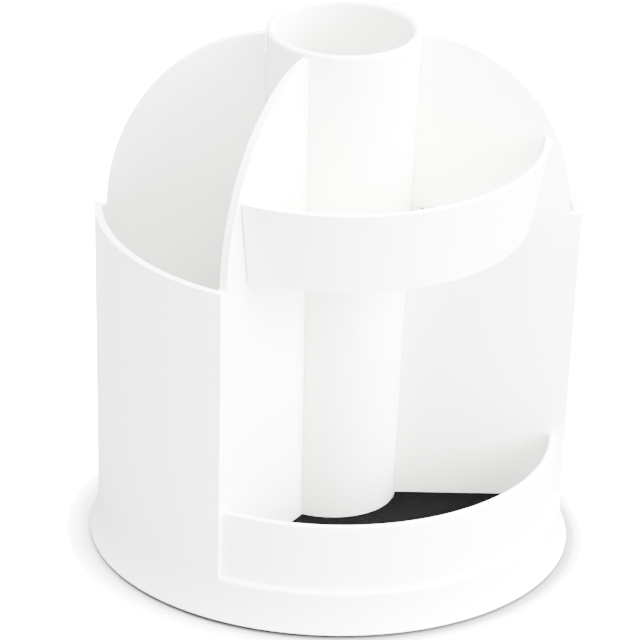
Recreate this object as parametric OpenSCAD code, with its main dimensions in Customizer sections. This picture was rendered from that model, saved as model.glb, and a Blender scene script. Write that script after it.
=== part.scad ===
// Round desk organizer that turns on a hidden ball-bearing foot.
// Two tall closed bins and two open compartments stand round a centre pencil cup,
// parted by four arched panels. Origin: on the table, on the turning axis. +Z is up.

/* [Carousel] */
// Outer radius of the skirt at its lower edge
skirt_r = 70; // [66:1:76]
// Height of the ledge on top of the skirt
ledge_h = 13.4; // [12.8:0.1:14]
// Height of the bins' rim
rim_h = 103.2; // [95:0.5:112]
// Height of the lip in front of each open compartment
lip_h = 33.5; // [24:0.5:45]
// Wall thickness of the bins, lips and skirt
wall_t = 2.2; // [1.8:0.1:2.6]
// Thickness of the floor
floor_t = 2.2; // [2:0.1:2.4]
// How far the bins' walls lean outward from the ledge to the rim
wall_lean = 2.5; // [0:0.1:3.5]

/* [Panels] */
// Thickness of an arched panel
panel_t = 2.4; // [2:0.1:3]
// Angle that each closed bin takes
bin_angle = 60; // [50:1:70]
// Height where the arch meets the centre cup
arch_h = 157.8; // [148:0.5:166]
// Distance of the arch's centre from the axis
arch_c = 19.8; // [17:0.1:21]

/* [Centre cup] */
// Height of the cup's mouth above the table
cup_h = 159.5; // [150:0.5:168]
// Outer radius of the cup at its mouth
cup_top_r = 22.3; // [21:0.1:24]
// Outer radius of the cup at its foot
cup_foot_r = 18.8; // [17.5:0.1:20]
// Wall thickness of the cup
cup_wall = 2.5; // [2:0.1:3]

/* [Trays] */
// Height of a tray's underside
tray_h = 101.9; // [95:0.5:108]
// Depth of a tray's front band
tray_depth = 25.4; // [18:0.2:30]
// Outer radius of the band at its lower edge
tray_low_r = 55.4; // [52:0.2:57]
// Outer radius of the band at its upper edge
tray_top_r = 60.2; // [58:0.2:61]
// Wall thickness of a tray
tray_t = 1.6; // [1.2:0.1:2]

/* [Mats] */
// Thickness of the black mats
mat_t = 1; // [0.8:0.1:1.5]

/* [Turning foot] */
// Radius of the base plate
plate_r = 62; // [58:0.5:63]
// Pitch radius of the ring of balls
race_r = 40; // [38:0.5:44]
// Radius of a ball
ball_r = 2.9; // [2.7:0.05:2.95]
// Number of balls
ball_count = 16; // [10:1:18]
// Number of rubber feet
foot_count = 6; // [3:1:8]

/* [Hidden] */
$fn = 96;
eps = 0.01;
reach = 200;

// Heights, from the table upward
skirt_z = 1;
foot_t = 1.6;
plate_z = 0.9;
plate_t = 2.4;
plate_top = plate_z + plate_t;
race_t = 0.8;
lower_race_top = plate_top + race_t;
floor_drop = 0.9;
floor_z = ledge_h - floor_drop;
floor_low = floor_z - floor_t;
upper_race_low = floor_low - race_t;
ball_z = (lower_race_top + upper_race_low) / 2;
groove_dip = 0.35;
groove_r = (upper_race_low - lower_race_top) / 2 + groove_dip;

// Radii of the carousel
skirt_flare = 2.4;
ledge_r = skirt_r - skirt_flare;
ledge_in = ledge_r - wall_t;
rim_r = ledge_r + wall_lean;
lip_t = 2;
lip_in = ledge_in - lip_t;
joint_gap = 0.05;
loose_gap = 0.3;
mat_clear = 0.5;

// Angles of the four panels, in the order in which they are numbered
front_left = -60 - bin_angle;
right = 0;
back_right = bin_angle;
left = 180;

// Arch of a panel
arch_set_in = 1.2;
arch_a = rim_r - wall_t - arch_set_in - arch_c;
arch_b = arch_h - rim_h;
arch_step = 5;
tongue_in = 26;
tongue_out = 60;
tongue_deep = 1.2;

// Rails that carry the trays
rail_in = 27;
rail_out = 51;
rail_t = 1.6;
rail_h = 2;

// Trays
tray_clear = 0.7;
tray_notch = cup_top_r + tray_clear;
tray_low_wall = 2.6;

// Turning foot
race_inward = 10.5;
race_outward = 5.5;
rivet_inward = 7.5;
race_in = race_r - race_inward;
race_out = race_r + race_outward;
rivet_at = race_r - rivet_inward;
rivet_r = 1.3;
rivet_head = 2.3;
rivet_head_t = 0.7;
flange_t = 0.6;
retainer_half = 4.4;
retainer_t = 1.6;
ball_gap = 0.08;
rivet_count = 4;
lower_rivet_turn = 45;
upper_rivet_turn = 30;
foot_at = 52;
foot_r = 5.5;
plate_rim_t = 1.6;
plate_rim_up = 2.2;
hub_r = 11;
hub_top = 6;
pocket_r = 7;
pocket_top = 2.7;
shoulder_r = 3;
bush_gap = 0.05;
bush_in = shoulder_r + bush_gap;
bush_out = 4.2;
bush_flange_r = 6;
bush_flange_t = 0.5;
boss_r = 9;
boss_gap = 0.2;
boss_low = hub_top + bush_flange_t + boss_gap;
thread_r = 2;
skin_t = 0.7;
thread_top = floor_z - skin_t;
head_r = 5.6;
head_top = 2.2;
washer_r = 6.4;
washer_t = 0.4;
washer_gap = 0.2;
recess_long = 5;
recess_wide = 1;
recess_deep = 0.8;

// Screws that hold the cup to the floor
cup_base_t = 3.2;
cup_screw_count = 3;
cup_screw_at = 12.6;
cup_screw_turn = 30;
cup_screw_r = 1.25;
cup_screw_head = 2.4;
cup_screw_head_t = 1.4;

// Radius of a cone between two heights
function lean(r0, z0, r1, z1, z) = r0 + (r1 - r0) * (z - z0) / (z1 - z0);
function cup_r(z) = lean(cup_foot_r, floor_z, cup_top_r, cup_h, z);
function bin_in(z) = lean(ledge_in, ledge_h, rim_r - wall_t, rim_h, z);
function tray_r(z) = lean(tray_low_r, tray_h, tray_top_r, tray_h + tray_depth, z);
function arch_point(a) = [arch_c + arch_a * cos(a), rim_h + arch_b * sin(a)];

// Upright wedge from angle a to angle b, with both sides moved outward by grow
module wedge(a, b, grow, z0, z1) {
    half = (b - a) / 2;
    mid = (a + b) / 2;
    tip = -grow / sin(half) * [cos(mid), sin(mid)];
    translate([0, 0, z0])
        linear_extrude(z1 - z0)
            polygon([tip,
                     tip + reach * [cos(a), sin(a)],
                     tip + reach * [cos(b), sin(b)]]);
}

// Full ring turned from an outline of [radius, height] points
module ring(outline) {
    rotate_extrude() polygon(outline);
}

// Copies of the children round the axis
module around(count, radius, first = 0) {
    for (i = [0 : count - 1])
        rotate([0, 0, first + i * 360 / count])
            translate([radius, 0, 0])
                children();
}

// Upright cylinder from height z0 to height z1
module cylinder_between(r, z0, z1) {
    translate([0, 0, z0]) cylinder(r = r, h = z1 - z0);
}

// ---------- turning foot: the part that stands still ----------

module base_plate() {
    color("gainsboro")
        difference() {
            union() {
                translate([0, 0, plate_z]) cylinder(r = plate_r, h = plate_t);
                cylinder_between(hub_r, plate_z, hub_top);
                ring([[plate_r - plate_rim_t, plate_z], [plate_r, plate_z],
                      [plate_r, plate_top + plate_rim_up], [plate_r - plate_rim_t, plate_top + plate_rim_up]]);
            }
            cylinder_between(pocket_r, plate_z - 1, pocket_top);
            cylinder_between(bush_out, 0, hub_top + 1);
            around(foot_count, foot_at) cylinder_between(foot_r, 0, foot_t);
            around(rivet_count, rivet_at, lower_rivet_turn) {
                cylinder_between(rivet_r, 0, plate_top + 1);
                cylinder_between(rivet_head, 0, plate_z + flange_t);
            }
        }
}

module foot_pads() {
    color("dimgray")
        around(foot_count, foot_at) cylinder_between(foot_r, 0, foot_t);
}

module pivot_bush() {
    color("ivory")
        difference() {
            union() {
                cylinder_between(bush_out, pocket_top, hub_top);
                cylinder_between(bush_flange_r, hub_top, hub_top + bush_flange_t);
            }
            cylinder_between(bush_in, 0, hub_top + 2);
        }
}

// Steel ring with a ball groove on the face that looks at the balls
module race(z0, first) {
    difference() {
        ring([[race_in, z0], [race_out, z0], [race_out, z0 + race_t], [race_in, z0 + race_t]]);
        translate([0, 0, ball_z])
            rotate_extrude()
                translate([race_r, 0])
                    circle(r = groove_r);
        around(rivet_count, rivet_at, first) cylinder_between(rivet_r, z0 - 1, z0 + race_t + 1);
    }
}

module lower_race() {
    color("silver") race(plate_top, lower_rivet_turn);
}

module lower_race_rivets() {
    color("silver")
        around(rivet_count, rivet_at, lower_rivet_turn) {
            cylinder_between(rivet_r, plate_z, lower_race_top);
            cylinder_between(rivet_head, plate_z, plate_z + flange_t);
            cylinder_between(rivet_head, lower_race_top, lower_race_top + rivet_head_t);
        }
}

// ---------- ball bearing ----------

module ball_retainer() {
    color("white")
        difference() {
            ring([[race_r - retainer_half, ball_z - retainer_t / 2],
                  [race_r + retainer_half, ball_z - retainer_t / 2],
                  [race_r + retainer_half, ball_z + retainer_t / 2],
                  [race_r - retainer_half, ball_z + retainer_t / 2]]);
            around(ball_count, race_r) cylinder_between(ball_r + ball_gap, 0, floor_z);
        }
}

module bearing_balls() {
    color("lightgray")
        around(ball_count, race_r) translate([0, 0, ball_z]) sphere(r = ball_r);
}

// ---------- carousel: the part that turns ----------

module floor_shell() {
    color("white")
        difference() {
            ring([[0, boss_low], [boss_r, boss_low], [boss_r, floor_low],
                  [ledge_r - wall_t, floor_low], [skirt_r - wall_t, skirt_z],
                  [skirt_r, skirt_z], [ledge_r, ledge_h], [ledge_in, ledge_h],
                  [ledge_in, floor_z], [0, floor_z]]);
            cylinder_between(thread_r, 0, thread_top);
            for (a = [front_left, right, back_right, left])
                rotate([0, 0, a]) tongue();
            around(rivet_count, rivet_at, upper_rivet_turn) {
                cylinder_between(rivet_r, 0, floor_z + 1);
                cylinder_between(rivet_head, floor_z - flange_t, floor_z + 1);
            }
            around(cup_screw_count, cup_screw_at, cup_screw_turn) cylinder_between(cup_screw_r, 0, floor_z + 1);
        }
}

module upper_race() {
    color("silver") race(upper_race_low, upper_rivet_turn);
}

module upper_race_rivets() {
    color("silver")
        around(rivet_count, rivet_at, upper_rivet_turn) {
            cylinder_between(rivet_r, upper_race_low, floor_z);
            cylinder_between(rivet_head, floor_z - flange_t, floor_z);
            cylinder_between(rivet_head, upper_race_low - rivet_head_t, upper_race_low);
        }
}

module pivot_screw() {
    color("silver")
        difference() {
            union() {
                cylinder_between(head_r, plate_z, head_top);
                cylinder_between(shoulder_r, plate_z, boss_low);
                cylinder_between(thread_r, plate_z, thread_top);
            }
            for (a = [0, 90])
                rotate([0, 0, a])
                    translate([-recess_long / 2, -recess_wide / 2, 0])
                        cube([recess_long, recess_wide, plate_z + recess_deep]);
        }
}

module pivot_washer() {
    color("silver")
        difference() {
            cylinder_between(washer_r, head_top, head_top + washer_t);
            cylinder_between(shoulder_r + washer_gap, 0, hub_top);
        }
}

// Curved outer wall of a closed bin, which also covers the ends of its two panels
module bin_wall(a) {
    color("white")
        intersection() {
            ring([[ledge_in, ledge_h], [ledge_r, ledge_h], [rim_r, rim_h],
                  [rim_r - wall_t, rim_h]]);
            wedge(a, a + bin_angle, panel_t / 2, 0, cup_h);
        }
}

// Low curved wall in front of an open compartment
module lip_wall(a) {
    color("white")
        intersection() {
            ring([[lip_in, floor_z], [ledge_in, floor_z], [ledge_in, lip_h], [lip_in, lip_h]]);
            wedge(a, a + 180 - bin_angle, -panel_t / 2, 0, cup_h);
        }
}

// Foot of a panel, which stands in a slot of the floor
module tongue() {
    translate([tongue_in, -panel_t / 2, floor_z - tongue_deep])
        cube([tongue_out - tongue_in, panel_t, tongue_deep + eps]);
}

// Arched panel along +X, with a rail for the tray on its side of positive or negative Y
module divider(side) {
    inner_top = cup_r(arch_h) + joint_gap;
    last_angle = acos((inner_top - arch_c) / arch_a);
    color("white") {
        rotate([90, 0, 0])
            linear_extrude(panel_t, center = true)
                polygon(concat(
                    [[cup_r(floor_z) + joint_gap, floor_z],
                     [bin_in(floor_z) - joint_gap, floor_z],
                     [bin_in(rim_h) - joint_gap, rim_h]],
                    [for (a = [0 : arch_step : last_angle - 1]) arch_point(a)],
                    [[inner_top, arch_point(last_angle)[1]]]));
        tongue();
        translate([rail_in, side > 0 ? panel_t / 2 - eps : -panel_t / 2 - rail_t, tray_h - rail_h])
            cube([rail_out - rail_in, rail_t + eps, rail_h]);
    }
}

module center_cup() {
    color("white")
        difference() {
            ring([[0, floor_z], [cup_foot_r, floor_z], [cup_top_r, cup_h],
                  [cup_top_r - cup_wall, cup_h],
                  [cup_r(floor_z + cup_base_t) - cup_wall, floor_z + cup_base_t],
                  [0, floor_z + cup_base_t]]);
            around(cup_screw_count, cup_screw_at, cup_screw_turn)
                cylinder_between(cup_screw_r, 0, floor_z + cup_base_t - skin_t);
        }
}

module cup_screws() {
    color("silver")
        around(cup_screw_count, cup_screw_at, cup_screw_turn) {
            cylinder_between(cup_screw_r, floor_low - eps, floor_z + cup_base_t - skin_t);
            cylinder_between(cup_screw_head, floor_low - cup_screw_head_t, floor_low);
        }
}

module cup_mat() {
    color("black")
        cylinder_between(cup_foot_r - cup_wall - mat_clear, floor_z + cup_base_t,
                         floor_z + cup_base_t + mat_t);
}

// Mat on the floor of a compartment from angle a to angle b
module mat(a, b, outer) {
    color("black")
        intersection() {
            ring([[cup_r(floor_z + mat_t) + loose_gap, floor_z], [outer, floor_z],
                  [outer, floor_z + mat_t], [cup_r(floor_z + mat_t) + loose_gap, floor_z + mat_t]]);
            wedge(a, b, -panel_t / 2 - loose_gap, 0, cup_h);
        }
}

// Lift-out tray over an open compartment: a floor, a leaning front band and low side walls
module tray(a) {
    b = a + 180 - bin_angle;
    top = tray_h + tray_depth;
    low = tray_h + tray_low_wall;
    inside = tray_h + tray_t;
    side = -panel_t / 2 - loose_gap;
    color("white")
        difference() {
            intersection() {
                ring([[tray_notch, tray_h], [tray_low_r, tray_h], [tray_top_r, top],
                      [tray_notch, top]]);
                wedge(a, b, side, 0, cup_h);
            }
            intersection() {
                ring([[tray_notch + tray_t, inside], [tray_r(inside) - tray_t, inside],
                      [tray_r(low) - tray_t, low], [tray_notch + tray_t, low]]);
                wedge(a, b, side - tray_t, 0, cup_h);
            }
            ring([[tray_notch - 1, low], [tray_r(low) - tray_t, low],
                  [tray_r(top + 1) - tray_t, top + 1], [tray_notch - 1, top + 1]]);
        }
}

base_plate();
foot_pads();
pivot_bush();
lower_race();
lower_race_rivets();
ball_retainer();
bearing_balls();
floor_shell();
upper_race();
upper_race_rivets();
pivot_screw();
pivot_washer();
bin_wall(left);  // bin_wall_left
bin_wall(right);  // bin_wall_right
lip_wall(front_left);  // lip_wall_front
lip_wall(back_right);  // lip_wall_back
rotate([0, 0, front_left]) divider(1);  // divider_front_left
rotate([0, 0, left]) divider(-1);  // divider_left
rotate([0, 0, back_right]) divider(1);  // divider_back_right
rotate([0, 0, right]) divider(-1);  // divider_right
center_cup();
cup_screws();
cup_mat();
mat(front_left, right, lip_in - loose_gap);  // mat_front
mat(back_right, left, lip_in - loose_gap);  // mat_back
mat(left, left + bin_angle, ledge_in - loose_gap);  // mat_bin_left
mat(right, back_right, ledge_in - loose_gap);  // mat_bin_right
tray(front_left);  // tray_front
tray(back_right);  // tray_back
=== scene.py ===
import math

import bmesh
import bpy
from mathutils import Matrix, Quaternion, Vector


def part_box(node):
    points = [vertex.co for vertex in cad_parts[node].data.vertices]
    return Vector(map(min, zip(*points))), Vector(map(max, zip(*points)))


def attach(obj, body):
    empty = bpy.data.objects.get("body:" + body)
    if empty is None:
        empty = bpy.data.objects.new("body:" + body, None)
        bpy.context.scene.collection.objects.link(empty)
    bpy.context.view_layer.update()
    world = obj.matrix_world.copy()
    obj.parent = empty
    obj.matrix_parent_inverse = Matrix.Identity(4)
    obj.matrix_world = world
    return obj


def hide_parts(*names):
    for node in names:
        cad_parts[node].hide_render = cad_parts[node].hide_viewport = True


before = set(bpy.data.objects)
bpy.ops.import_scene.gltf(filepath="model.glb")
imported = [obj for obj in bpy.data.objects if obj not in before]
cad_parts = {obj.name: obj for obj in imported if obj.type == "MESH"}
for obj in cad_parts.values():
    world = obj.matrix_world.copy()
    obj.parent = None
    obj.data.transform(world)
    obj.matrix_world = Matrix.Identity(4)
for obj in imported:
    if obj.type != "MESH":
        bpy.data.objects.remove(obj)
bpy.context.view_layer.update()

MM = 0.001

# ---------------------------------------------------------------- camera
# A long lens two metres away looks down on the organizer at 25 degrees, and is
# turned a little about its own axis.
aim = Vector((-4.3, 0.1, 67.6)) * MM
camera_distance = 2.027
camera_azimuth = math.radians(-91.7)
camera_elevation = math.radians(24.94)
camera_roll = math.radians(1.8)

camera_data = bpy.data.cameras.new("camera")
camera_data.sensor_width = 36.0
camera_data.lens = 393.75
camera_data.clip_end = 50.0
camera = bpy.data.objects.new("camera", camera_data)
bpy.context.scene.collection.objects.link(camera)
from_aim = Vector((
    math.cos(camera_elevation) * math.cos(camera_azimuth),
    math.cos(camera_elevation) * math.sin(camera_azimuth),
    math.sin(camera_elevation),
))
camera.location = aim + from_aim * camera_distance
looking = (-from_aim).to_track_quat("-Z", "Y")
camera.rotation_mode = "QUATERNION"
camera.rotation_quaternion = looking @ Quaternion((0, 0, 1), camera_roll)
bpy.context.scene.camera = camera
view = bpy.context.scene.view_settings
view.view_transform = "AgX"
view.look = "AgX - High Contrast"
view.exposure = 0.74

# ---------------------------------------------------------------- table top and light
# A wide white table under a white tent, lit by large softboxes, the strongest of them on
# the right and overhead. For camera rays alone the table's colour is raised to burn it out
# to white, and a shadow round the skirt is painted into it, darkest at the skirt's edge.
bm = bmesh.new()
bmesh.ops.create_grid(bm, x_segments=4, y_segments=4, size=6.0)
table_mesh = bpy.data.meshes.new("table_top")
bm.to_mesh(table_mesh)
bm.free()
table_top = bpy.data.objects.new("table_top", table_mesh)
bpy.context.scene.collection.objects.link(table_top)

paper = bpy.data.materials.new("white_paper_painted_shadow")
paper.use_nodes = True
nodes, links = paper.node_tree.nodes, paper.node_tree.links
nodes.remove(nodes["Principled BSDF"])
place = nodes.new("ShaderNodeTexCoord")
fibre = nodes.new("ShaderNodeTexNoise")
fibre.inputs["Scale"].default_value = 60.0
whiteness = nodes.new("ShaderNodeMapRange")
whiteness.inputs["To Min"].default_value = 0.49
whiteness.inputs["To Max"].default_value = 0.51
# Painted contact shadow: for camera rays the table's colour darkens in a ring towards the skirt,
# centred just right of and in front of the axis, so that the painted shadow is deepest on the right
# and front.
from_shadow_centre = nodes.new("ShaderNodeVectorMath")
from_shadow_centre.operation = "DISTANCE"
from_shadow_centre.inputs[1].default_value = (0.0018, -0.0005, 0)
away = nodes.new("ShaderNodeMapRange")
away.inputs["From Min"].default_value = 0.066
away.inputs["From Max"].default_value = 0.082
painted_contact_shadow = nodes.new("ShaderNodeValToRGB")
painted_contact_shadow.color_ramp.interpolation = "EASE"
painted_contact_shadow.color_ramp.elements[0].color = (0.09, 0.09, 0.09, 1)
painted_contact_shadow.color_ramp.elements[1].position = 0.92
for position, grey in ((0.22, 0.12), (0.33, 0.21), (0.45, 0.31), (0.70, 0.44)):
    painted_contact_shadow.color_ramp.elements.new(position).color = (grey, grey, grey, 1)
burnt_out = nodes.new("ShaderNodeMath")
burnt_out.operation = "MULTIPLY"
burnt_out.inputs[1].default_value = 2.8
# Camera rays see the painted shadow raised by the burn-out factor; all other rays see the plain white
# paper.
seen = nodes.new("ShaderNodeLightPath")
painted_shade_for_camera = nodes.new("ShaderNodeMix")
matt = nodes.new("ShaderNodeBsdfDiffuse")
links.new(place.outputs["Object"], fibre.inputs["Vector"])
links.new(fibre.outputs["Fac"], whiteness.inputs["Value"])
links.new(place.outputs["Object"], from_shadow_centre.inputs[0])
links.new(from_shadow_centre.outputs["Value"], away.inputs["Value"])
links.new(away.outputs["Result"], painted_contact_shadow.inputs["Fac"])
links.new(painted_contact_shadow.outputs["Color"], burnt_out.inputs[0])
links.new(seen.outputs["Is Camera Ray"], painted_shade_for_camera.inputs["Factor"])
links.new(whiteness.outputs["Result"], painted_shade_for_camera.inputs["A"])
links.new(burnt_out.outputs[0], painted_shade_for_camera.inputs["B"])
links.new(painted_shade_for_camera.outputs["Result"], matt.inputs["Color"])
links.new(matt.outputs["BSDF"], nodes["Material Output"].inputs["Surface"])
table_mesh.materials.append(paper)

world = bpy.data.worlds.new("white_tent")
world.use_nodes = True
world.node_tree.nodes["Background"].inputs["Color"].default_value = (0.90, 0.95, 1.0, 1)
world.node_tree.nodes["Background"].inputs["Strength"].default_value = 0.72
bpy.context.scene.world = world
cool_white = (0.925, 0.962, 1.0)
light_distance = 1.9
organizer_middle = Vector((0, 0, 0.08))


def softbox(name, turn, rise, side, power):
    """A square light at a compass turn and a rise in degrees, facing the organizer."""
    data = bpy.data.lights.new(name, "AREA")
    data.shape = "SQUARE"
    data.size = side
    data.energy = power
    data.color = cool_white
    turn, rise = math.radians(turn), math.radians(rise)
    out = Vector((math.cos(rise) * math.cos(turn), math.cos(rise) * math.sin(turn), math.sin(rise)))
    lamp = bpy.data.objects.new(name, data)
    lamp.location = organizer_middle + out * light_distance
    lamp.rotation_mode = "QUATERNION"
    lamp.rotation_quaternion = (-out).to_track_quat("-Z", "Y")
    bpy.context.scene.collection.objects.link(lamp)


softbox("right_softbox", -8, 15, 1.3, 46)
softbox("right_front_softbox", -35, 22, 1.1, 26)
softbox("right_back_softbox", 35, 30, 1.1, 22)
softbox("left_high_softbox", -150, 55, 1.1, 5)
softbox("front_high_softbox", -90, 58, 1.1, 18)
softbox("top_softbox", 0, 85, 1.2, 36)

# ---------------------------------------------------------------- floor shell
# One white ABS moulding: the floor of all the compartments, the narrow ledge round
# it and the skirt that flares down to the table and hides the turning foot. A boss
# under its middle takes the pivot screw.
skirt_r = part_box("floor_shell")[1].x
ledge_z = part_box("bin_wall_left")[0].z
floor_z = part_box("mat_front")[0].z
wall_t = 2.2 * MM
floor_t = 2.2 * MM
ledge_r = skirt_r - 2.4 * MM
ledge_in = ledge_r - wall_t
skirt_z = 1.0 * MM
boss_r = 9.0 * MM
boss_low = 6.7 * MM
pilot_top = floor_z - 0.7 * MM
TURN_STEPS = 256


def turned(outline, steps=TURN_STEPS, first=0.0, angle=360.0, closed=True):
    """A bmesh made by turning an outline of (radius, height) points about the axis."""
    bm = bmesh.new()
    start = Matrix.Rotation(math.radians(first), 4, "Z")
    corners = [bm.verts.new(start @ Vector((r, 0, z))) for r, z in outline]
    count = len(corners)
    edges = [
        bm.edges.new((corners[i], corners[(i + 1) % count]))
        for i in range(count if closed else count - 1)
    ]
    bmesh.ops.spin(
        bm, geom=corners + edges, axis=(0, 0, 1), cent=(0, 0, 0), steps=steps,
        angle=math.radians(angle), use_merge=angle == 360.0, use_duplicate=False,
    )
    bmesh.ops.remove_doubles(bm, verts=bm.verts, dist=1e-6)
    bmesh.ops.dissolve_degenerate(bm, dist=1e-6, edges=bm.edges)
    bmesh.ops.recalc_face_normals(bm, faces=bm.faces)
    return bm


def soften(bm, width, segments=3, where=None, sharper=25.0):
    """Rounds the sharp edges, or those of them whose middle passes the test."""
    limit = math.radians(sharper)
    sharp = [
        e for e in bm.edges
        if len(e.link_faces) == 2 and e.calc_face_angle(0.0) > limit
        and (where is None or where((e.verts[0].co + e.verts[1].co) / 2))
    ]
    bmesh.ops.bevel(
        bm, geom=sharp, offset=width, offset_type="OFFSET", segments=segments,
        profile=0.5, affect="EDGES", clamp_overlap=True, material=-1,
    )


def piece(name, bm, material, body, slot, *cad_nodes, smooth=32.0):
    """Makes the finished mesh an object that rides on its body in the CAD's place."""
    mesh = bpy.data.meshes.new(name)
    bm.to_mesh(mesh)
    bm.free()
    mesh.materials.append(material)
    mesh.shade_smooth()
    mesh.set_sharp_from_angle(angle=math.radians(smooth))
    obj = bpy.data.objects.new(name, mesh)
    bpy.context.scene.collection.objects.link(obj)
    even = obj.modifiers.new("even_normals", "WEIGHTED_NORMAL")
    even.keep_sharp = True
    even.weight = 80
    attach(obj, body)
    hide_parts(*cad_nodes)
    return obj


def moulded_group():
    """Shared by all the moulded plastics: faint flow clouds, a slow surface wave and a fine grain."""
    group = bpy.data.node_groups.new("moulded_surface", "ShaderNodeTree")
    face = group.interface
    face.new_socket("Colour", in_out="INPUT", socket_type="NodeSocketColor")
    face.new_socket("Shade", in_out="INPUT", socket_type="NodeSocketColor")
    face.new_socket("Gloss", in_out="INPUT", socket_type="NodeSocketFloat")
    face.new_socket("Gloss change", in_out="INPUT", socket_type="NodeSocketFloat")
    face.new_socket("Grain", in_out="INPUT", socket_type="NodeSocketFloat")
    face.new_socket("Colour", in_out="OUTPUT", socket_type="NodeSocketColor")
    face.new_socket("Roughness", in_out="OUTPUT", socket_type="NodeSocketFloat")
    face.new_socket("Height", in_out="OUTPUT", socket_type="NodeSocketFloat")
    made, link = group.nodes, group.links.new
    taken = made.new("NodeGroupInput")
    given = made.new("NodeGroupOutput")
    place = made.new("ShaderNodeTexCoord")

    clouds = made.new("ShaderNodeTexNoise")
    clouds.inputs["Scale"].default_value = 22.0
    clouds.inputs["Detail"].default_value = 3.0
    link(place.outputs["Object"], clouds.inputs["Vector"])
    clearer = made.new("ShaderNodeMapRange")
    clearer.inputs["From Min"].default_value = 0.35
    clearer.inputs["From Max"].default_value = 0.68
    link(clouds.outputs["Fac"], clearer.inputs["Value"])
    tone = made.new("ShaderNodeMix")
    tone.data_type = "RGBA"
    link(clearer.outputs["Result"], tone.inputs["Factor"])
    link(taken.outputs["Colour"], tone.inputs[6])
    link(taken.outputs["Shade"], tone.inputs[7])
    link(tone.outputs[2], given.inputs["Colour"])

    smear = made.new("ShaderNodeTexNoise")
    smear.inputs["Scale"].default_value = 90.0
    smear.inputs["Detail"].default_value = 4.0
    link(place.outputs["Object"], smear.inputs["Vector"])
    change = made.new("ShaderNodeMath")
    change.operation = "MULTIPLY_ADD"
    link(smear.outputs["Fac"], change.inputs[0])
    link(taken.outputs["Gloss change"], change.inputs[1])
    link(taken.outputs["Gloss"], change.inputs[2])
    link(change.outputs[0], given.inputs["Roughness"])

    wave = made.new("ShaderNodeTexNoise")
    wave.inputs["Scale"].default_value = 160.0
    wave.inputs["Detail"].default_value = 1.0
    link(place.outputs["Object"], wave.inputs["Vector"])
    grain = made.new("ShaderNodeTexNoise")
    grain.inputs["Scale"].default_value = 2600.0
    grain.inputs["Detail"].default_value = 2.0
    link(place.outputs["Object"], grain.inputs["Vector"])
    both = made.new("ShaderNodeMath")
    both.operation = "MULTIPLY_ADD"
    link(grain.outputs["Fac"], both.inputs[0])
    link(taken.outputs["Grain"], both.inputs[1])
    link(wave.outputs["Fac"], both.inputs[2])
    link(both.outputs[0], given.inputs["Height"])
    return group


moulded_surface = moulded_group()


def moulded(name, colour, shade, gloss, gloss_change, grain, relief):
    """A moulded plastic with its own colour, gloss and grain."""
    material = bpy.data.materials.new(name)
    material.use_nodes = True
    nodes, links = material.node_tree.nodes, material.node_tree.links
    shader = nodes["Principled BSDF"]
    surface = nodes.new("ShaderNodeGroup")
    surface.node_tree = moulded_surface
    surface.inputs["Colour"].default_value = (*colour, 1)
    surface.inputs["Shade"].default_value = (*shade, 1)
    surface.inputs["Gloss"].default_value = gloss
    surface.inputs["Gloss change"].default_value = gloss_change
    surface.inputs["Grain"].default_value = grain
    bump = nodes.new("ShaderNodeBump")
    bump.inputs["Strength"].default_value = 0.35
    bump.inputs["Distance"].default_value = relief
    links.new(surface.outputs["Colour"], shader.inputs["Base Color"])
    links.new(surface.outputs["Roughness"], shader.inputs["Roughness"])
    links.new(surface.outputs["Height"], bump.inputs["Height"])
    links.new(bump.outputs["Normal"], shader.inputs["Normal"])
    shader.inputs["IOR"].default_value = 1.53
    return material


white_plastic = moulded(
    "white_plastic", (0.950, 0.922, 0.872), (0.943, 0.915, 0.865),
    gloss=0.22, gloss_change=0.08, grain=0.02, relief=0.000006,
)

flare_steps, flare_power = 12, 2.5
flare = [
    (ledge_r + (skirt_r - ledge_r) * (1 - step / flare_steps) ** flare_power,
     skirt_z + (ledge_z - skirt_z) * step / flare_steps)
    for step in range(flare_steps + 1)
]
bm = turned([
    (0, boss_low), (boss_r, boss_low), (boss_r, floor_z - floor_t),
    (ledge_in, floor_z - floor_t), (skirt_r - wall_t, skirt_z), *flare,
    (ledge_in, ledge_z), (ledge_in, floor_z), (0, floor_z),
], closed=False)
bin_angle = 60
open_angle = 180 - bin_angle


def beside_open(p):
    """Whether a point is in front of an open compartment and not under a bin's wall."""
    turn = math.degrees(math.atan2(p.y, p.x)) % 180
    return bin_angle - 0.5 < turn < 180.5


soften(bm, 0.95 * MM, 5, lambda p: p.xy.length > ledge_r - 0.2 * MM and p.z > ledge_z - MM
       and beside_open(p))
soften(bm, 0.55 * MM, 4, lambda p: p.xy.length > skirt_r - 3 * MM and p.z < skirt_z + 0.5 * MM)
soften(bm, 0.4 * MM, 3, lambda p: p.xy.length < boss_r + MM)
piece("floor_shell_moulding", bm, white_plastic, "carousel", "white_shell", "floor_shell")

# ---------------------------------------------------------------- bin walls
# The tall curved outer wall of each closed bin, in the same white plastic. It leans
# outward a little, has a rounded rim, and its two rounded ends cover the panels' ends.
panel_t = 2.4 * MM
rim_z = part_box("bin_wall_left")[1].z
wall_lean = 2.5 * MM
rim_r = ledge_r + wall_lean
overrun = 6


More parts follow.
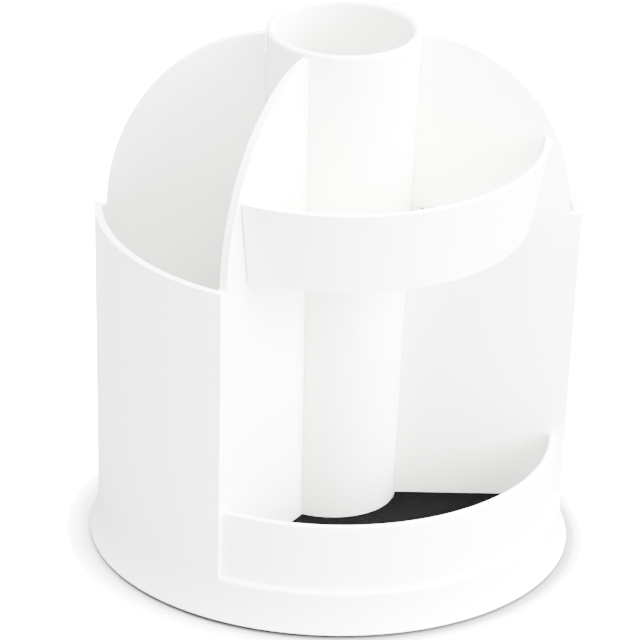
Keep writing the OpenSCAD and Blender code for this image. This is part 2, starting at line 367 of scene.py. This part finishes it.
def cut_along_panels(bm, first, last, grow):
    """Trims a turned piece to the wedge between two panels, its sides moved outward by grow."""
    for angle, side in ((first, -1), (last, 1)):
        turn = math.radians(angle)
        out = Vector((-math.sin(turn), math.cos(turn), 0)) * side
        along = Vector((math.cos(turn), math.sin(turn), 0))
        here = [f for f in bm.faces if f.calc_center_median().dot(along) > 0]
        geom = list({x for f in here for x in (f, *f.edges, *f.verts)})
        cut = bmesh.ops.bisect_plane(
            bm, geom=geom, plane_co=out * grow, plane_no=out, clear_outer=True, dist=1e-7,
        )
        rim = [e for e in cut["geom_cut"] if isinstance(e, bmesh.types.BMEdge)]
        bmesh.ops.contextual_create(bm, geom=rim)
    bmesh.ops.recalc_face_normals(bm, faces=bm.faces)


def curved_wall(outline, first, last, grow):
    """A wall that follows the round of the carousel from one panel to the next."""
    bm = turned(
        outline, steps=round(last - first + 2 * overrun), first=first - overrun,
        angle=last - first + 2 * overrun,
    )
    cut_along_panels(bm, first, last, grow)
    return bm


for name, first in (("left", 180), ("right", 0)):
    bm = curved_wall(
        [(ledge_in, ledge_z), (ledge_r, ledge_z), (rim_r, rim_z), (rim_r - wall_t, rim_z)],
        first, first + bin_angle, panel_t / 2,
    )
    middle_z = (ledge_z + rim_z) / 2
    soften(bm, 1.3 * MM, 6, lambda p: abs(p.z - middle_z) < MM and p.xy.length > ledge_r + MM)
    soften(bm, 1.07 * MM, 6, lambda p: p.z > rim_z - 0.1 * MM)
    piece(f"bin_wall_{name}_moulding", bm, white_plastic, "carousel", "white_shell",
          f"bin_wall_{name}")

# ---------------------------------------------------------------- lip walls
# A low curved wall keeps things in each open compartment. It stands inside the ledge,
# between the faces of two panels, and its top edge is rounded.
lip_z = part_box("lip_wall_front")[1].z
lip_in = ledge_in - 2.0 * MM

for name, first in (("front", -open_angle), ("back", bin_angle)):
    bm = curved_wall(
        [(lip_in, floor_z), (ledge_in, floor_z), (ledge_in, lip_z), (lip_in, lip_z)],
        first, first + open_angle, -panel_t / 2,
    )
    soften(bm, 0.8 * MM, 5, lambda p: p.z > lip_z - 0.1 * MM)
    piece(f"lip_wall_{name}_moulding", bm, white_plastic, "carousel", "white_shell",
          f"lip_wall_{name}")

# ---------------------------------------------------------------- arched panels
# Four flat white panels stand on edge in slots of the floor and run from the cup to
# the outer wall. Above the bins' rim each one follows a quarter of an ellipse up to
# the cup's mouth. A small rail low on one face carries the tray.
cup_top_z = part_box("center_cup")[1].z
cup_top_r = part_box("center_cup")[1].x
cup_foot_r = 18.8 * MM
arch_z = 157.8 * MM
arch_centre = 19.8 * MM
arch_reach = rim_r - wall_t - 1.2 * MM - arch_centre
tray_z, tray_top_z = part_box("tray_front")[0].z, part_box("tray_front")[1].z
rail_in, rail_out = 27 * MM, 51 * MM
rail_t, rail_h = 1.6 * MM, 2.0 * MM
joint_gap = 0.05 * MM


def cup_radius(z):
    """Outer radius of the tapered cup at a height."""
    return cup_foot_r + (cup_top_r - cup_foot_r) * (z - floor_z) / (cup_top_z - floor_z)


def panel(turn, side):
    """One arched panel, turned to its place, with its rail on the given side."""
    bm = bmesh.new()
    top = bm.verts.new((0, 0, 1))
    bmesh.ops.spin(
        bm, geom=[top], axis=(0, 1, 0), cent=(0, 0, 0), steps=48,
        angle=math.radians(90), use_duplicate=False,
    )
    arch_height = arch_z - rim_z
    for v in bm.verts:
        v.co = Vector((arch_centre + v.co.x * arch_reach, 0, rim_z + v.co.z * arch_height))
    inner_top = cup_radius(arch_z) + joint_gap
    bmesh.ops.delete(bm, geom=[v for v in bm.verts if v.co.x < inner_top], context="VERTS")
    arch = sorted(bm.verts, key=lambda v: v.co.x)
    corners = [
        (rim_r - wall_t - joint_gap, rim_z),
        (ledge_in - joint_gap, floor_z),
        (cup_radius(floor_z) + joint_gap, floor_z),
        (inner_top, arch[0].co.z + 0.1 * MM),
    ]
    outline = arch + [bm.verts.new((x, 0, z)) for x, z in corners]
    face = bm.faces.new(outline)
    block = bmesh.ops.extrude_face_region(bm, geom=[face])
    pushed = [v for v in block["geom"] if isinstance(v, bmesh.types.BMVert)]
    bmesh.ops.translate(bm, verts=pushed, vec=(0, panel_t, 0))
    bmesh.ops.translate(bm, verts=bm.verts, vec=(0, -panel_t / 2, 0))
    bmesh.ops.recalc_face_normals(bm, faces=bm.faces)
    soften(bm, 0.85 * MM, 4, lambda p: p.z > rim_z + 0.5 * MM and p.x > inner_top + 0.3 * MM)

    rail = bmesh.ops.create_cube(bm, size=1)["verts"]
    sink = 0.2 * MM
    bmesh.ops.scale(bm, verts=rail, vec=(rail_out - rail_in, rail_t + sink, rail_h))
    bmesh.ops.translate(bm, verts=rail, vec=(
        (rail_in + rail_out) / 2, side * (panel_t / 2 + (rail_t - sink) / 2),
        tray_z - rail_h / 2,
    ))
    edges = list({e for v in rail for e in v.link_edges if e.verts[0].co.y * side > panel_t / 2
                  and e.verts[1].co.y * side > panel_t / 2})
    bmesh.ops.bevel(bm, geom=edges, offset=0.35 * MM, offset_type="OFFSET", segments=3,
                    profile=0.5, affect="EDGES", clamp_overlap=True, material=-1)
    bmesh.ops.rotate(bm, verts=bm.verts, cent=(0, 0, 0),
                     matrix=Matrix.Rotation(math.radians(turn), 3, "Z"))
    return bm


for name, turn, side in (
    ("front_left", -open_angle, 1), ("left", 180, -1),
    ("back_right", bin_angle, 1), ("right", 0, -1),
):
    piece(f"panel_{name}", panel(turn, side), white_plastic, "carousel", "white_shell",
          f"divider_{name}")

# ---------------------------------------------------------------- centre cup
# A tall pencil cup in the middle, moulded with a taper so that it is wider at its
# mouth. It is screwed to the floor from below, and its mouth is fully rounded.
cup_wall = 2.5 * MM
cup_base_t = 3.2 * MM
cup_in_z = floor_z + cup_base_t

bm = turned([
    (0, floor_z), (cup_foot_r, floor_z), (cup_top_r, cup_top_z),
    (cup_top_r - cup_wall, cup_top_z), (cup_radius(cup_in_z) - cup_wall, cup_in_z),
    (0, cup_in_z),
], closed=False)
soften(bm, 1.15 * MM, 6, lambda p: p.z > cup_top_z - MM)
soften(bm, 0.5 * MM, 3, lambda p: p.z < floor_z + MM and p.xy.length > 10 * MM)
piece("center_cup_moulding", bm, white_plastic, "carousel", "white_shell", "center_cup")

# ---------------------------------------------------------------- trays
# Each tray is a thin white moulding that hangs between two panels on their rails: a
# floor, a curved front band that leans outward, and low walls at the sides and round
# the cup. It lifts straight out.
tray_t = 1.6 * MM
tray_low_r = 55.4 * MM
tray_top_r = 60.2 * MM
tray_notch = cup_top_r + 0.7 * MM
tray_low_wall = 2.6 * MM
tray_gap = panel_t / 2 + 0.3 * MM


def tray(first, last):
    """A sheet with its walls pulled up in two steps, which Solidify then thickens inward."""
    bm = turned([(tray_notch, tray_z), (tray_low_r, tray_z)], closed=False,
                steps=open_angle + 2 * overrun, first=first - overrun,
                angle=last - first + 2 * overrun)
    for angle, side in ((first, -1), (last, 1)):
        turn = math.radians(angle)
        out = Vector((-math.sin(turn), math.cos(turn), 0)) * side
        bmesh.ops.bisect_plane(
            bm, geom=bm.verts[:] + bm.edges[:] + bm.faces[:], plane_co=-out * tray_gap,
            plane_no=out, clear_outer=True, dist=1e-7,
        )
    for f in bm.faces:
        if f.normal.z > 0:
            f.normal_flip()

    def lean_out(verts, z):
        """Moves the band's edge out to the radius that it has at this height."""
        radius = tray_low_r + (tray_top_r - tray_low_r) * (z - tray_z) / (tray_top_z - tray_z)
        for v in verts:
            flat = Vector((v.co.x, v.co.y, 0))
            if flat.length > (tray_notch + tray_low_r) / 2:
                v.co = flat.normalized() * radius + Vector((0, 0, v.co.z))

    edge = [e for e in bm.edges if e.is_boundary]
    low = bmesh.ops.extrude_edge_only(bm, edges=edge)["geom"]
    low_verts = [v for v in low if isinstance(v, bmesh.types.BMVert)]
    low_edges = [e for e in low if isinstance(e, bmesh.types.BMEdge)]
    bmesh.ops.translate(bm, verts=low_verts, vec=(0, 0, tray_low_wall))
    outer = [e for e in low_edges
             if min(v.co.xy.length for v in e.verts) > tray_low_r - 0.2 * MM]
    lean_out([v for v in low_verts if v.co.xy.length > tray_low_r - 0.2 * MM],
             tray_z + tray_low_wall)
    high = bmesh.ops.extrude_edge_only(bm, edges=outer)["geom"]
    high_verts = [v for v in high if isinstance(v, bmesh.types.BMVert)]
    bmesh.ops.translate(
        bm, verts=high_verts, vec=(0, 0, tray_top_z - tray_z - tray_low_wall))
    lean_out(high_verts, tray_top_z)
    bmesh.ops.recalc_face_normals(bm, faces=bm.faces)
    below = next(f for f in bm.faces if abs(f.normal.z) > 0.9)
    if below.normal.z > 0:
        bmesh.ops.reverse_faces(bm, faces=bm.faces)
    return bm


for name, first in (("front", -open_angle), ("back", bin_angle)):
    obj = piece(f"tray_{name}_moulding", tray(first, first + open_angle), white_plastic,
                f"{name}_tray", "white_shell", f"tray_{name}")
    thick = obj.modifiers.new("wall", "SOLIDIFY")
    thick.thickness = tray_t
    thick.offset = -1
    thick.use_even_offset = True
    rounding = obj.modifiers.new("rounded_edges", "BEVEL")
    rounding.width = 0.5 * MM
    rounding.segments = 3
    rounding.limit_method = "ANGLE"
    rounding.angle_limit = math.radians(40)
    obj.modifiers.move(0, 2)

# ---------------------------------------------------------------- black mats
# Loose mats of fine-grained black rubber foam lie on the floor of each compartment
# and at the bottom of the cup. Their cut edges are slightly rounded.
mat_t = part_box("mat_front")[1].z - floor_z
mat_in = cup_radius(floor_z + mat_t) + 0.3 * MM


def mat_rubber():
    """Black rubber foam: closed cells, a few paler specks and a dull, uneven sheen."""
    material = bpy.data.materials.new("black_mat_rubber")
    material.use_nodes = True
    nodes, links = material.node_tree.nodes, material.node_tree.links
    shader = nodes["Principled BSDF"]
    place = nodes.new("ShaderNodeTexCoord")
    cells = nodes.new("ShaderNodeTexVoronoi")
    cells.inputs["Scale"].default_value = 1500.0
    clouds = nodes.new("ShaderNodeTexNoise")
    clouds.inputs["Scale"].default_value = 60.0
    clouds.inputs["Detail"].default_value = 5.0
    specks = nodes.new("ShaderNodeTexNoise")
    specks.inputs["Scale"].default_value = 900.0
    specks.inputs["Detail"].default_value = 3.0
    for texture in (cells, clouds, specks):
        links.new(place.outputs["Object"], texture.inputs["Vector"])
    black = nodes.new("ShaderNodeValToRGB")
    black.color_ramp.elements[0].position = 0.35
    black.color_ramp.elements[0].color = (0.003, 0.003, 0.0035, 1)
    black.color_ramp.elements[1].position = 0.72
    black.color_ramp.elements[1].color = (0.006, 0.006, 0.0065, 1)
    links.new(clouds.outputs["Fac"], black.inputs["Fac"])
    pale = nodes.new("ShaderNodeMapRange")
    pale.inputs["From Min"].default_value = 0.66
    pale.inputs["From Max"].default_value = 0.74
    links.new(specks.outputs["Fac"], pale.inputs["Value"])
    colour = nodes.new("ShaderNodeMix")
    colour.data_type = "RGBA"
    colour.inputs[7].default_value = (0.016, 0.016, 0.017, 1)
    links.new(pale.outputs["Result"], colour.inputs["Factor"])
    links.new(black.outputs["Color"], colour.inputs[6])
    links.new(colour.outputs[2], shader.inputs["Base Color"])
    dull = nodes.new("ShaderNodeMapRange")
    dull.inputs["To Min"].default_value = 0.72
    dull.inputs["To Max"].default_value = 0.92
    links.new(clouds.outputs["Fac"], dull.inputs["Value"])
    links.new(dull.outputs["Result"], shader.inputs["Roughness"])
    bump = nodes.new("ShaderNodeBump")
    bump.inputs["Strength"].default_value = 0.6
    bump.inputs["Distance"].default_value = 0.00015
    links.new(cells.outputs["Distance"], bump.inputs["Height"])
    links.new(bump.outputs["Normal"], shader.inputs["Normal"])
    shader.inputs["Specular IOR Level"].default_value = 0.22
    return material


black_rubber = mat_rubber()
for name, first, angle, outer in (
    ("front", -open_angle, open_angle, lip_in - 0.3 * MM),
    ("back", bin_angle, open_angle, lip_in - 0.3 * MM),
    ("bin_left", 180, bin_angle, ledge_in - 0.3 * MM),
    ("bin_right", 0, bin_angle, ledge_in - 0.3 * MM),
):
    bm = curved_wall(
        [(mat_in, floor_z), (outer, floor_z), (outer, floor_z + mat_t),
         (mat_in, floor_z + mat_t)],
        first, first + angle, -panel_t / 2 - 0.3 * MM,
    )
    soften(bm, 0.2 * MM, 2)
    piece(f"mat_{name}_foam", bm, black_rubber, "carousel", "black_mat", f"mat_{name}")

cup_mat_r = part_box("cup_mat")[1].x
bm = turned([(0, cup_in_z), (cup_mat_r, cup_in_z), (cup_mat_r, cup_in_z + mat_t),
             (0, cup_in_z + mat_t)], steps=96, closed=False)
soften(bm, 0.2 * MM, 2)
piece("cup_mat_foam", bm, black_rubber, "carousel", "black_mat", "cup_mat")

# ---------------------------------------------------------------- base plate
# The still foot: a moulded plate with an upturned rim, hidden inside the skirt. Six
# pockets hold its rubber pads, four recesses the heads of the race's rivets, and a hub
# in the middle carries the pivot bush.
plate_low, plate_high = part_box("base_plate")
plate_r = plate_high.x
plate_z = plate_low.z
plate_top = plate_z + 2.4 * MM
plate_rim_t, plate_rim_z = 1.6 * MM, plate_top + 2.2 * MM
hub_r, hub_top = 11.0 * MM, plate_high.z
pocket_r, pocket_top = 7.0 * MM, 2.7 * MM
bush_out, bush_in = 4.2 * MM, 3.05 * MM
pad_at = 52.0 * MM
pad_r = 5.5 * MM
pad_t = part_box("foot_pads")[1].z
race_r = 40.0 * MM
rivet_at = race_r - 7.5 * MM
rivet_r, rivet_head = 1.3 * MM, 2.3 * MM
flange_t, dome_t = 0.6 * MM, 0.7 * MM
lower_rivet_turn, upper_rivet_turn = 45, 30


def set_round(bm, count, radius, first=0.0):
    """Repeats a piece made on the axis at equal steps round a circle."""
    bmesh.ops.translate(bm, verts=bm.verts, vec=(radius, 0, 0))
    bmesh.ops.rotate(bm, verts=bm.verts, cent=(0, 0, 0),
                     matrix=Matrix.Rotation(math.radians(first), 3, "Z"))
    bmesh.ops.spin(
        bm, geom=bm.verts[:] + bm.edges[:] + bm.faces[:], axis=(0, 0, 1), cent=(0, 0, 0),
        steps=count - 1, angle=math.radians(360 * (count - 1) / count),
        use_duplicate=True,
    )
    return bm


def cut_away(bm, cutter):
    """Takes the cutter's volume out of a piece."""
    parts = []
    for source in (bm, cutter):
        mesh = bpy.data.meshes.new("blank")
        source.to_mesh(mesh)
        source.free()
        parts.append(bpy.data.objects.new("blank", mesh))
        bpy.context.scene.collection.objects.link(parts[-1])
    cut = parts[0].modifiers.new("cut", "BOOLEAN")
    cut.operation = "DIFFERENCE"
    cut.solver = "EXACT"
    cut.object = parts[1]
    result = bmesh.new()
    result.from_object(parts[0], bpy.context.evaluated_depsgraph_get())
    for part in parts:
        mesh = part.data
        bpy.data.objects.remove(part)
        bpy.data.meshes.remove(mesh)
    return result


foot_plastic = moulded(
    "foot_plastic", (0.62, 0.62, 0.60), (0.58, 0.58, 0.57),
    gloss=0.34, gloss_change=0.14, grain=0.5, relief=0.00003,
)
bm = turned([
    (bush_out, pocket_top), (pocket_r, pocket_top), (pocket_r, plate_z), (plate_r, plate_z),
    (plate_r, plate_rim_z), (plate_r - plate_rim_t, plate_rim_z),
    (plate_r - plate_rim_t, plate_top), (hub_r, plate_top), (hub_r, hub_top), (bush_out, hub_top),
], steps=192)
soften(bm, 0.35 * MM, 2)
pockets = turned([(0, -MM), (pad_r, -MM), (pad_r, pad_t), (0, pad_t)], steps=48, closed=False)
bm = cut_away(bm, set_round(pockets, 6, pad_at))
recess_r, recess_top = rivet_head + 0.05 * MM, plate_z + flange_t
recesses = turned([(0, -MM), (recess_r, -MM), (recess_r, recess_top), (0, recess_top)],
                  steps=24, closed=False)
bm = cut_away(bm, set_round(recesses, 4, rivet_at, lower_rivet_turn))
piece("base_plate_moulding", bm, foot_plastic, "foot", "foot_plastic", "base_plate")

# ---------------------------------------------------------------- rubber pads
# Six round pads of soft dark rubber are pressed into the plate's pockets and grip the
# table. Each has a rounded edge and a shallow dish that works as a sucker.
foot_rubber = moulded(
    "foot_rubber", (0.045, 0.045, 0.047), (0.060, 0.060, 0.062),
    gloss=0.62, gloss_change=0.2, grain=1.0, relief=0.00006,
)
bm = turned([
    (0, 0.35 * MM), (pad_r - 2.2 * MM, 0.25 * MM), (pad_r - 1.4 * MM, 0),
    (pad_r - 0.5 * MM, 0), (pad_r - 0.15 * MM, 0.15 * MM), (pad_r, 0.5 * MM), (pad_r, pad_t),
    (0, pad_t),
], steps=48, closed=False)
piece("rubber_pads", set_round(bm, 6, pad_at), foot_rubber, "foot", "foot_rubber", "foot_pads")

# ---------------------------------------------------------------- pivot bush
# A flanged sleeve of natural acetal, pressed down into the hub, in which the shoulder of
# the pivot screw turns.
natural_acetal = moulded(
    "natural_acetal", (0.78, 0.77, 0.72), (0.74, 0.73, 0.69),
    gloss=0.30, gloss_change=0.12, grain=0.2, relief=0.00002,
)
bush_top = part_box("pivot_bush")[1].z
bm = turned([
    (bush_in, pocket_top), (bush_out, pocket_top), (bush_out, hub_top), (6 * MM, hub_top),
    (6 * MM, bush_top), (bush_in, bush_top),
], steps=96)
soften(bm, 0.15 * MM, 2)
piece("bush_sleeve", bm, natural_acetal, "foot", "acetal", "pivot_bush")

# ---------------------------------------------------------------- bearing races
# Two pressed rings of zinc-plated steel sheet, one riveted on the plate and one under
# the floor. A shallow groove in each guides the balls.
race_t = 0.8 * MM
race_in, race_out = race_r - 10.5 * MM, race_r + 5.5 * MM
upper_race_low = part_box("upper_race")[0].z
ball_z = (plate_top + race_t + upper_race_low) / 2
groove_r = upper_race_low - ball_z + 0.35 * MM
groove_half = math.sqrt(groove_r ** 2 - (upper_race_low - ball_z) ** 2)


def metal_group():
    """Shared by all the metal pieces: plating tone, rubbed patches and fine drawn lines."""
    group = bpy.data.node_groups.new("metal_surface", "ShaderNodeTree")
    face = group.interface
    face.new_socket("Colour", in_out="INPUT", socket_type="NodeSocketColor")
    face.new_socket("Dull colour", in_out="INPUT", socket_type="NodeSocketColor")
    face.new_socket("Gloss", in_out="INPUT", socket_type="NodeSocketFloat")
    face.new_socket("Gloss change", in_out="INPUT", socket_type="NodeSocketFloat")
    face.new_socket("Colour", in_out="OUTPUT", socket_type="NodeSocketColor")
    face.new_socket("Roughness", in_out="OUTPUT", socket_type="NodeSocketFloat")
    face.new_socket("Height", in_out="OUTPUT", socket_type="NodeSocketFloat")
    made, link = group.nodes, group.links.new
    taken = made.new("NodeGroupInput")
    given = made.new("NodeGroupOutput")
    place = made.new("ShaderNodeTexCoord")
    patches = made.new("ShaderNodeTexNoise")
    patches.inputs["Scale"].default_value = 180.0
    patches.inputs["Detail"].default_value = 5.0
    link(place.outputs["Object"], patches.inputs["Vector"])
    tone = made.new("ShaderNodeMix")
    tone.data_type = "RGBA"
    link(patches.outputs["Fac"], tone.inputs["Factor"])
    link(taken.outputs["Colour"], tone.inputs[6])
    link(taken.outputs["Dull colour"], tone.inputs[7])
    link(tone.outputs[2], given.inputs["Colour"])
    change = made.new("ShaderNodeMath")
    change.operation = "MULTIPLY_ADD"
    link(patches.outputs["Fac"], change.inputs[0])
    link(taken.outputs["Gloss change"], change.inputs[1])
    link(taken.outputs["Gloss"], change.inputs[2])
    link(change.outputs[0], given.inputs["Roughness"])
    drawn = made.new("ShaderNodeTexNoise")
    drawn.inputs["Scale"].default_value = 1800.0
    drawn.inputs["Detail"].default_value = 2.0
    link(place.outputs["Object"], drawn.inputs["Vector"])
    link(drawn.outputs["Fac"], given.inputs["Height"])
    return group


metal_surface = metal_group()


def metal(name, colour, dull, gloss, gloss_change, relief):
    """A metal with its own plating tone and polish."""
    material = bpy.data.materials.new(name)
    material.use_nodes = True
    nodes, links = material.node_tree.nodes, material.node_tree.links
    shader = nodes["Principled BSDF"]
    shader.inputs["Metallic"].default_value = 1.0
    surface = nodes.new("ShaderNodeGroup")
    surface.node_tree = metal_surface
    surface.inputs["Colour"].default_value = (*colour, 1)
    surface.inputs["Dull colour"].default_value = (*dull, 1)
    surface.inputs["Gloss"].default_value = gloss
    surface.inputs["Gloss change"].default_value = gloss_change
    bump = nodes.new("ShaderNodeBump")
    bump.inputs["Strength"].default_value = 0.3
    bump.inputs["Distance"].default_value = relief
    links.new(surface.outputs["Colour"], shader.inputs["Base Color"])
    links.new(surface.outputs["Roughness"], shader.inputs["Roughness"])
    links.new(surface.outputs["Height"], bump.inputs["Height"])
    links.new(bump.outputs["Normal"], shader.inputs["Normal"])
    return material


zinc_steel = metal("zinc_steel", (0.60, 0.60, 0.61), (0.50, 0.51, 0.53), 0.24, 0.22, 0.00002)


def race(low, groove_above):
    """A flat ring whose ball groove is in its upper or its lower face."""
    top = low + race_t
    face = top if groove_above else low
    groove = []
    for step in range(7):
        across = -groove_half + step * groove_half / 3
        depth = math.sqrt(groove_r ** 2 - across ** 2)
        groove.append((race_r + across, ball_z + (-depth if groove_above else depth)))
    if groove_above:
        outline = [(race_in, low), (race_out, low), (race_out, top), *reversed(groove),
                   (race_in, top)]
    else:
        outline = [(race_in, low), *groove, (race_out, low), (race_out, top), (race_in, top)]
    bm = turned(outline, steps=192)
    soften(bm, 0.12 * MM, 2, lambda p: abs(p.xy.length - race_in) < 0.1 * MM
           or abs(p.xy.length - race_out) < 0.1 * MM)
    return bm


piece("lower_race_ring", race(plate_top, True), zinc_steel, "foot", "steel", "lower_race")
piece("upper_race_ring", race(upper_race_low, False), zinc_steel, "carousel", "steel",
      "upper_race")

# ---------------------------------------------------------------- race rivets
# Four rivets of soft steel hold each race. Their set heads are low domes on the race,
# and the factory heads lie flush with the far face of the moulding.
def rivets(flush, seat, first):
    """Four rivets from a flush head to a domed head that sits on the race."""
    up = 1 if seat > flush else -1
    dome = [(rivet_head * math.cos(math.radians(a)),
             seat + up * dome_t * (0.3 + 0.7 * math.sin(math.radians(a))))
            for a in range(0, 90, 15)]
    outline = [(0, flush), (rivet_head - 0.1 * MM, flush), (rivet_head, flush + up * 0.1 * MM),
               (rivet_head, flush + up * flange_t), (rivet_r, flush + up * flange_t),
               (rivet_r, seat), (rivet_head, seat), *dome, (0, seat + up * dome_t)]
    return set_round(turned(outline, steps=24, closed=False), 4, rivet_at, first)


piece("lower_rivets", rivets(plate_z, plate_top + race_t, lower_rivet_turn), zinc_steel,
      "foot", "steel", "lower_race_rivets")
piece("upper_rivets", rivets(floor_z, upper_race_low, upper_rivet_turn), zinc_steel,
      "carousel", "steel", "upper_race_rivets")

# ---------------------------------------------------------------- bearing balls and retainer
# Sixteen polished steel balls roll between the races. A flat ring of acetal with a hole
# for each ball keeps them apart and travels round with them at half the speed.
ball_r = 2.9 * MM
ball_count = 16
polished_steel = metal("polished_steel", (0.72, 0.72, 0.73), (0.66, 0.66, 0.68), 0.06, 0.06, 0.000004)

bm = bmesh.new()
bmesh.ops.create_icosphere(bm, subdivisions=4, radius=ball_r)
bmesh.ops.translate(bm, verts=bm.verts, vec=(0, 0, ball_z))
piece("balls", set_round(bm, ball_count, race_r), polished_steel, "bearing", "ball_steel",
      "bearing_balls")

retainer_low, retainer_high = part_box("ball_retainer")
retainer_half = 4.4 * MM
bm = turned([
    (race_r - retainer_half, retainer_low.z), (race_r + retainer_half, retainer_low.z),
    (race_r + retainer_half, retainer_high.z), (race_r - retainer_half, retainer_high.z),
], steps=192)
soften(bm, 0.3 * MM, 2)
hole_r = ball_r + 0.08 * MM
holes = turned([(0, 0), (hole_r, 0), (hole_r, floor_z), (0, floor_z)], steps=48, closed=False)
bm = cut_away(bm, set_round(holes, ball_count, race_r))
piece("retainer_ring", bm, natural_acetal, "bearing", "acetal", "ball_retainer")

# ---------------------------------------------------------------- pivot screw and washer
# A shouldered screw with a cross recess comes up through the bush and threads into the
# floor's boss, so it turns with the carousel. A thin washer runs under its head.
head_r, head_top = 5.6 * MM, 2.2 * MM
shoulder_r, thread_r = 3.0 * MM, 2.0 * MM
thread_pitch = 0.7 * MM
thread = []
for turn_no in range(int((pilot_top - boss_low) / thread_pitch) - 1):
    z = boss_low + 0.3 * MM + turn_no * thread_pitch
    thread += [(thread_r - 0.35 * MM, z), (thread_r, z + thread_pitch / 2)]
bm = turned([
    (0, plate_z), (head_r - 0.5 * MM, plate_z), (head_r - 0.12 * MM, plate_z + 0.15 * MM),
    (head_r, plate_z + 0.5 * MM), (head_r, head_top), (shoulder_r, head_top),
    (shoulder_r, boss_low), *thread, (thread_r - 0.5 * MM, pilot_top), (0, pilot_top),
], steps=72, closed=False)


def cross_recess(length, width, depth, low):
    """The cutter for a cross recess in a head whose underside is at a height."""
    bm = bmesh.new()
    long, short = length / 2, width / 2
    quarter = [Vector((long, -short, 0)), Vector((long, short, 0)), Vector((short, short, 0))]
    outline = [
        bm.verts.new(Matrix.Rotation(math.radians(turn), 3, "Z") @ p)
        for turn in (0, 90, 180, 270) for p in quarter
    ]
    face = bm.faces.new(outline)
    block = bmesh.ops.extrude_face_region(bm, geom=[face])
    pushed = [v for v in block["geom"] if isinstance(v, bmesh.types.BMVert)]
    bmesh.ops.translate(bm, verts=pushed, vec=(0, 0, 2 * depth))
    bmesh.ops.translate(bm, verts=bm.verts, vec=(0, 0, low - depth))
    bmesh.ops.recalc_face_normals(bm, faces=bm.faces)
    return bm


bm = cut_away(bm, cross_recess(5 * MM, MM, 0.85 * MM, plate_z))
piece("shouldered_screw", bm, zinc_steel, "carousel", "steel", "pivot_screw")

washer_low, washer_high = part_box("pivot_washer")
bm = turned([
    (shoulder_r + 0.2 * MM, washer_low.z), (washer_high.x, washer_low.z),
    (washer_high.x, washer_high.z), (shoulder_r + 0.2 * MM, washer_high.z),
], steps=72)
soften(bm, 0.1 * MM, 2)
piece("thin_washer", bm, zinc_steel, "carousel", "steel", "pivot_washer")

# ---------------------------------------------------------------- cup screws
# Three small domed screws go up through the floor into the cup's thick base.
screw_at = 12.6 * MM
screw_r, screw_head = 1.25 * MM, 2.4 * MM
screws_low, screws_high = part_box("cup_screws")
seat = floor_z - floor_t
bm = turned([
    (0, screws_low.z), (screw_head - 0.8 * MM, screws_low.z + 0.12 * MM),
    (screw_head - 0.2 * MM, screws_low.z + 0.6 * MM), (screw_head, seat), (screw_r, seat),
    (screw_r, screws_high.z - 0.6 * MM), (screw_r - 0.6 * MM, screws_high.z),
    (0, screws_high.z),
], steps=32, closed=False)
bm = cut_away(bm, cross_recess(2.6 * MM, 0.6 * MM, 0.75 * MM, screws_low.z))
piece("small_screws", set_round(bm, 3, screw_at, 30), zinc_steel, "carousel", "steel",
      "cup_screws")
